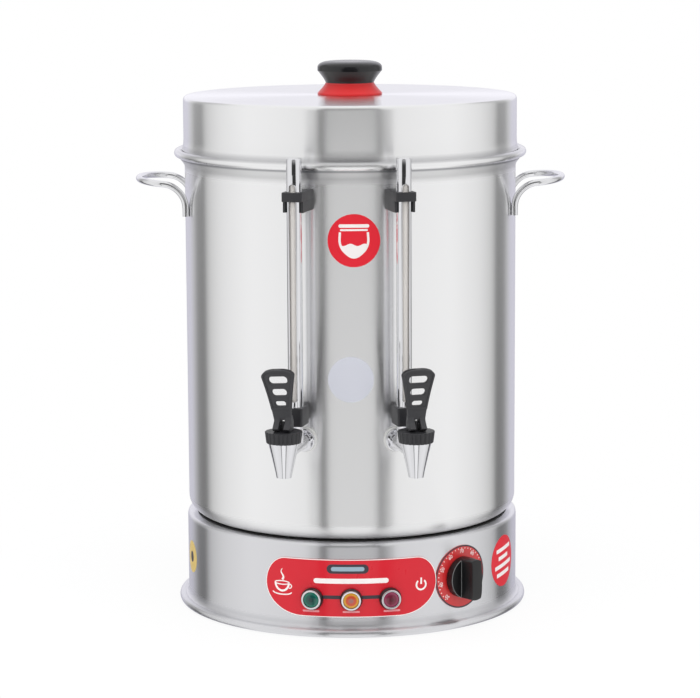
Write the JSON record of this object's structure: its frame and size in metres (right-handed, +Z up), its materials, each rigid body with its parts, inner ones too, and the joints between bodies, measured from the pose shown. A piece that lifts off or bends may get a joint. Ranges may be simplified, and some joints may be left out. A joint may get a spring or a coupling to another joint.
{
  "type": "tea urn",
  "caption": "Electric stainless tea urn: tall vessel on a round control base, deep lift-off lid with a knob, side rod handles, and lever taps with upright sight gauges.",
  "frame": {"origin": "centre of the ring that the base stands on, at counter level", "axes": "+Z up along the vessel's axis; the taps and controls face -Y; +X is the viewer's right"},
  "size_m": [0.469, 0.4633, 0.5935],
  "materials": {
    "satin_steel": "satin brushed stainless sheet",
    "polished_rod": "polished stainless rod",
    "black_rubber": "matt black rubber",
    "zinc_fasteners": "bright zinc plate",
    "red_panel": "glossy red printed plate with a pale edge",
    "red_dial": "red scale plate with white marks",
    "black_plastic": "moulded black plastic",
    "black_knob": "moulded black phenolic",
    "red_plastic": "moulded red plastic",
    "chrome": "bright chrome plate",
    "green_lens": "clear green plastic",
    "amber_lens": "clear amber plastic",
    "red_lens": "clear red plastic",
    "thermostat_case": "dark moulding",
    "copper": "drawn copper",
    "spreader_aluminium": "milled aluminium",
    "element_sheath": "heat-tinted steel tube",
    "ceramic": "unglazed ceramic",
    "silicone": "pale silicone",
    "gauge_glass": "clear glass"
  },
  "bodies": {
    "urn": {"vessel_floor": "satin_steel", "vessel_wall": "satin_steel", "vessel_rim": "satin_steel", "seat_gasket": "black_rubber", "base_housing": "satin_steel", "base_plate": "satin_steel", "base_screws": "zinc_fasteners", "base_nuts": "black_plastic", "rubber_feet": "black_rubber", "left_handle": "polished_rod", "right_handle": "polished_rod", "control_panel_plate": "red_panel", "lamp_bezels": "black_plastic", "lamp_rings": "chrome", "lamp_lens_green": "green_lens", "lamp_lens_amber": "amber_lens", "lamp_lens_red": "red_lens", "thermostat_dial": "red_dial", "thermostat_body": "thermostat_case", "thermostat_bulb": "copper", "heater_plate": "spreader_aluminium", "heating_element": "element_sheath", "heater_clamp": "zinc_fasteners", "floor_nuts": "zinc_fasteners", "limit_thermostat": "thermostat_case", "terminal_block": "ceramic", "cable_gland": "black_plastic", "shank_washers": "silicone", "shank_nuts": "chrome", "left_tap_shank": "chrome", "right_tap_shank": "chrome", "left_tap_spout": "chrome", "right_tap_spout": "chrome", "left_tap_bonnet": "black_plastic", "right_tap_bonnet": "black_plastic", "left_tap_spring": "zinc_fasteners", "right_tap_spring": "zinc_fasteners", "left_gauge_glass": "gauge_glass", "right_gauge_glass": "gauge_glass", "left_gauge_guard": "chrome", "right_gauge_guard": "chrome", "left_upper_bracket": "black_plastic", "right_upper_bracket": "black_plastic", "left_lower_bracket": "black_plastic", "right_lower_bracket": "black_plastic", "bracket_screws": "zinc_fasteners"},
    "lid": {"lid": "satin_steel", "lid_knob_collar": "red_plastic", "lid_knob_cap": "black_knob", "lid_knob_screw": "zinc_fasteners"},
    "thermostat_knob": {"thermostat_knob": "black_knob", "thermostat_shaft": "zinc_fasteners"},
    "left_valve": {"left_tap_stem": "black_plastic", "left_seat_cup": "silicone"},
    "left_lever": {"left_tap_lever": "black_plastic", "left_lever_pin": "zinc_fasteners"},
    "right_valve": {"right_tap_stem": "black_plastic", "right_seat_cup": "silicone"},
    "right_lever": {"right_tap_lever": "black_plastic", "right_lever_pin": "zinc_fasteners"}
  },
  "joints": [
    {"name": "lid_lift", "type": "slide", "parent": "urn", "child": "lid", "axis": [0, 0, 1], "range_m": [0, 0.12]},
    {"name": "thermostat_turn", "type": "hinge", "parent": "urn", "child": "thermostat_knob", "pos_m": [0.12213, -0.14555, 0.0543], "axis": [-0.6428, 0.766, 0], "range_deg": [0, 270]},
    {"name": "left_valve_lift", "type": "slide", "parent": "urn", "child": "left_valve", "axis": [0, 0, 1], "range_m": [0, 0.0041], "deforming": ["left_tap_spring"]},
    {"name": "left_lever_pull", "type": "hinge", "parent": "left_valve", "child": "left_lever", "pos_m": [-0.06712, -0.24704, 0.24], "axis": [0.965, -0.2622, 0], "range_deg": [0, 50], "stiffness_Nm_per_rad": 0.02, "springref_deg": -34.38},
    {"name": "right_valve_lift", "type": "slide", "parent": "urn", "child": "right_valve", "axis": [0, 0, 1], "range_m": [0, 0.0041], "deforming": ["right_tap_spring"]},
    {"name": "right_lever_pull", "type": "hinge", "parent": "right_valve", "child": "right_lever", "pos_m": [0.06712, -0.24704, 0.24], "axis": [0.965, 0.2622, 0], "range_deg": [0, 50], "stiffness_Nm_per_rad": 0.02, "springref_deg": -34.38}
  ],
  "couplings": [
    {"joint": "left_valve_lift", "follows": "left_lever_pull", "m_per_rad": 0.0045837},
    {"joint": "right_valve_lift", "follows": "right_lever_pull", "m_per_rad": 0.0045837}
  ]
}
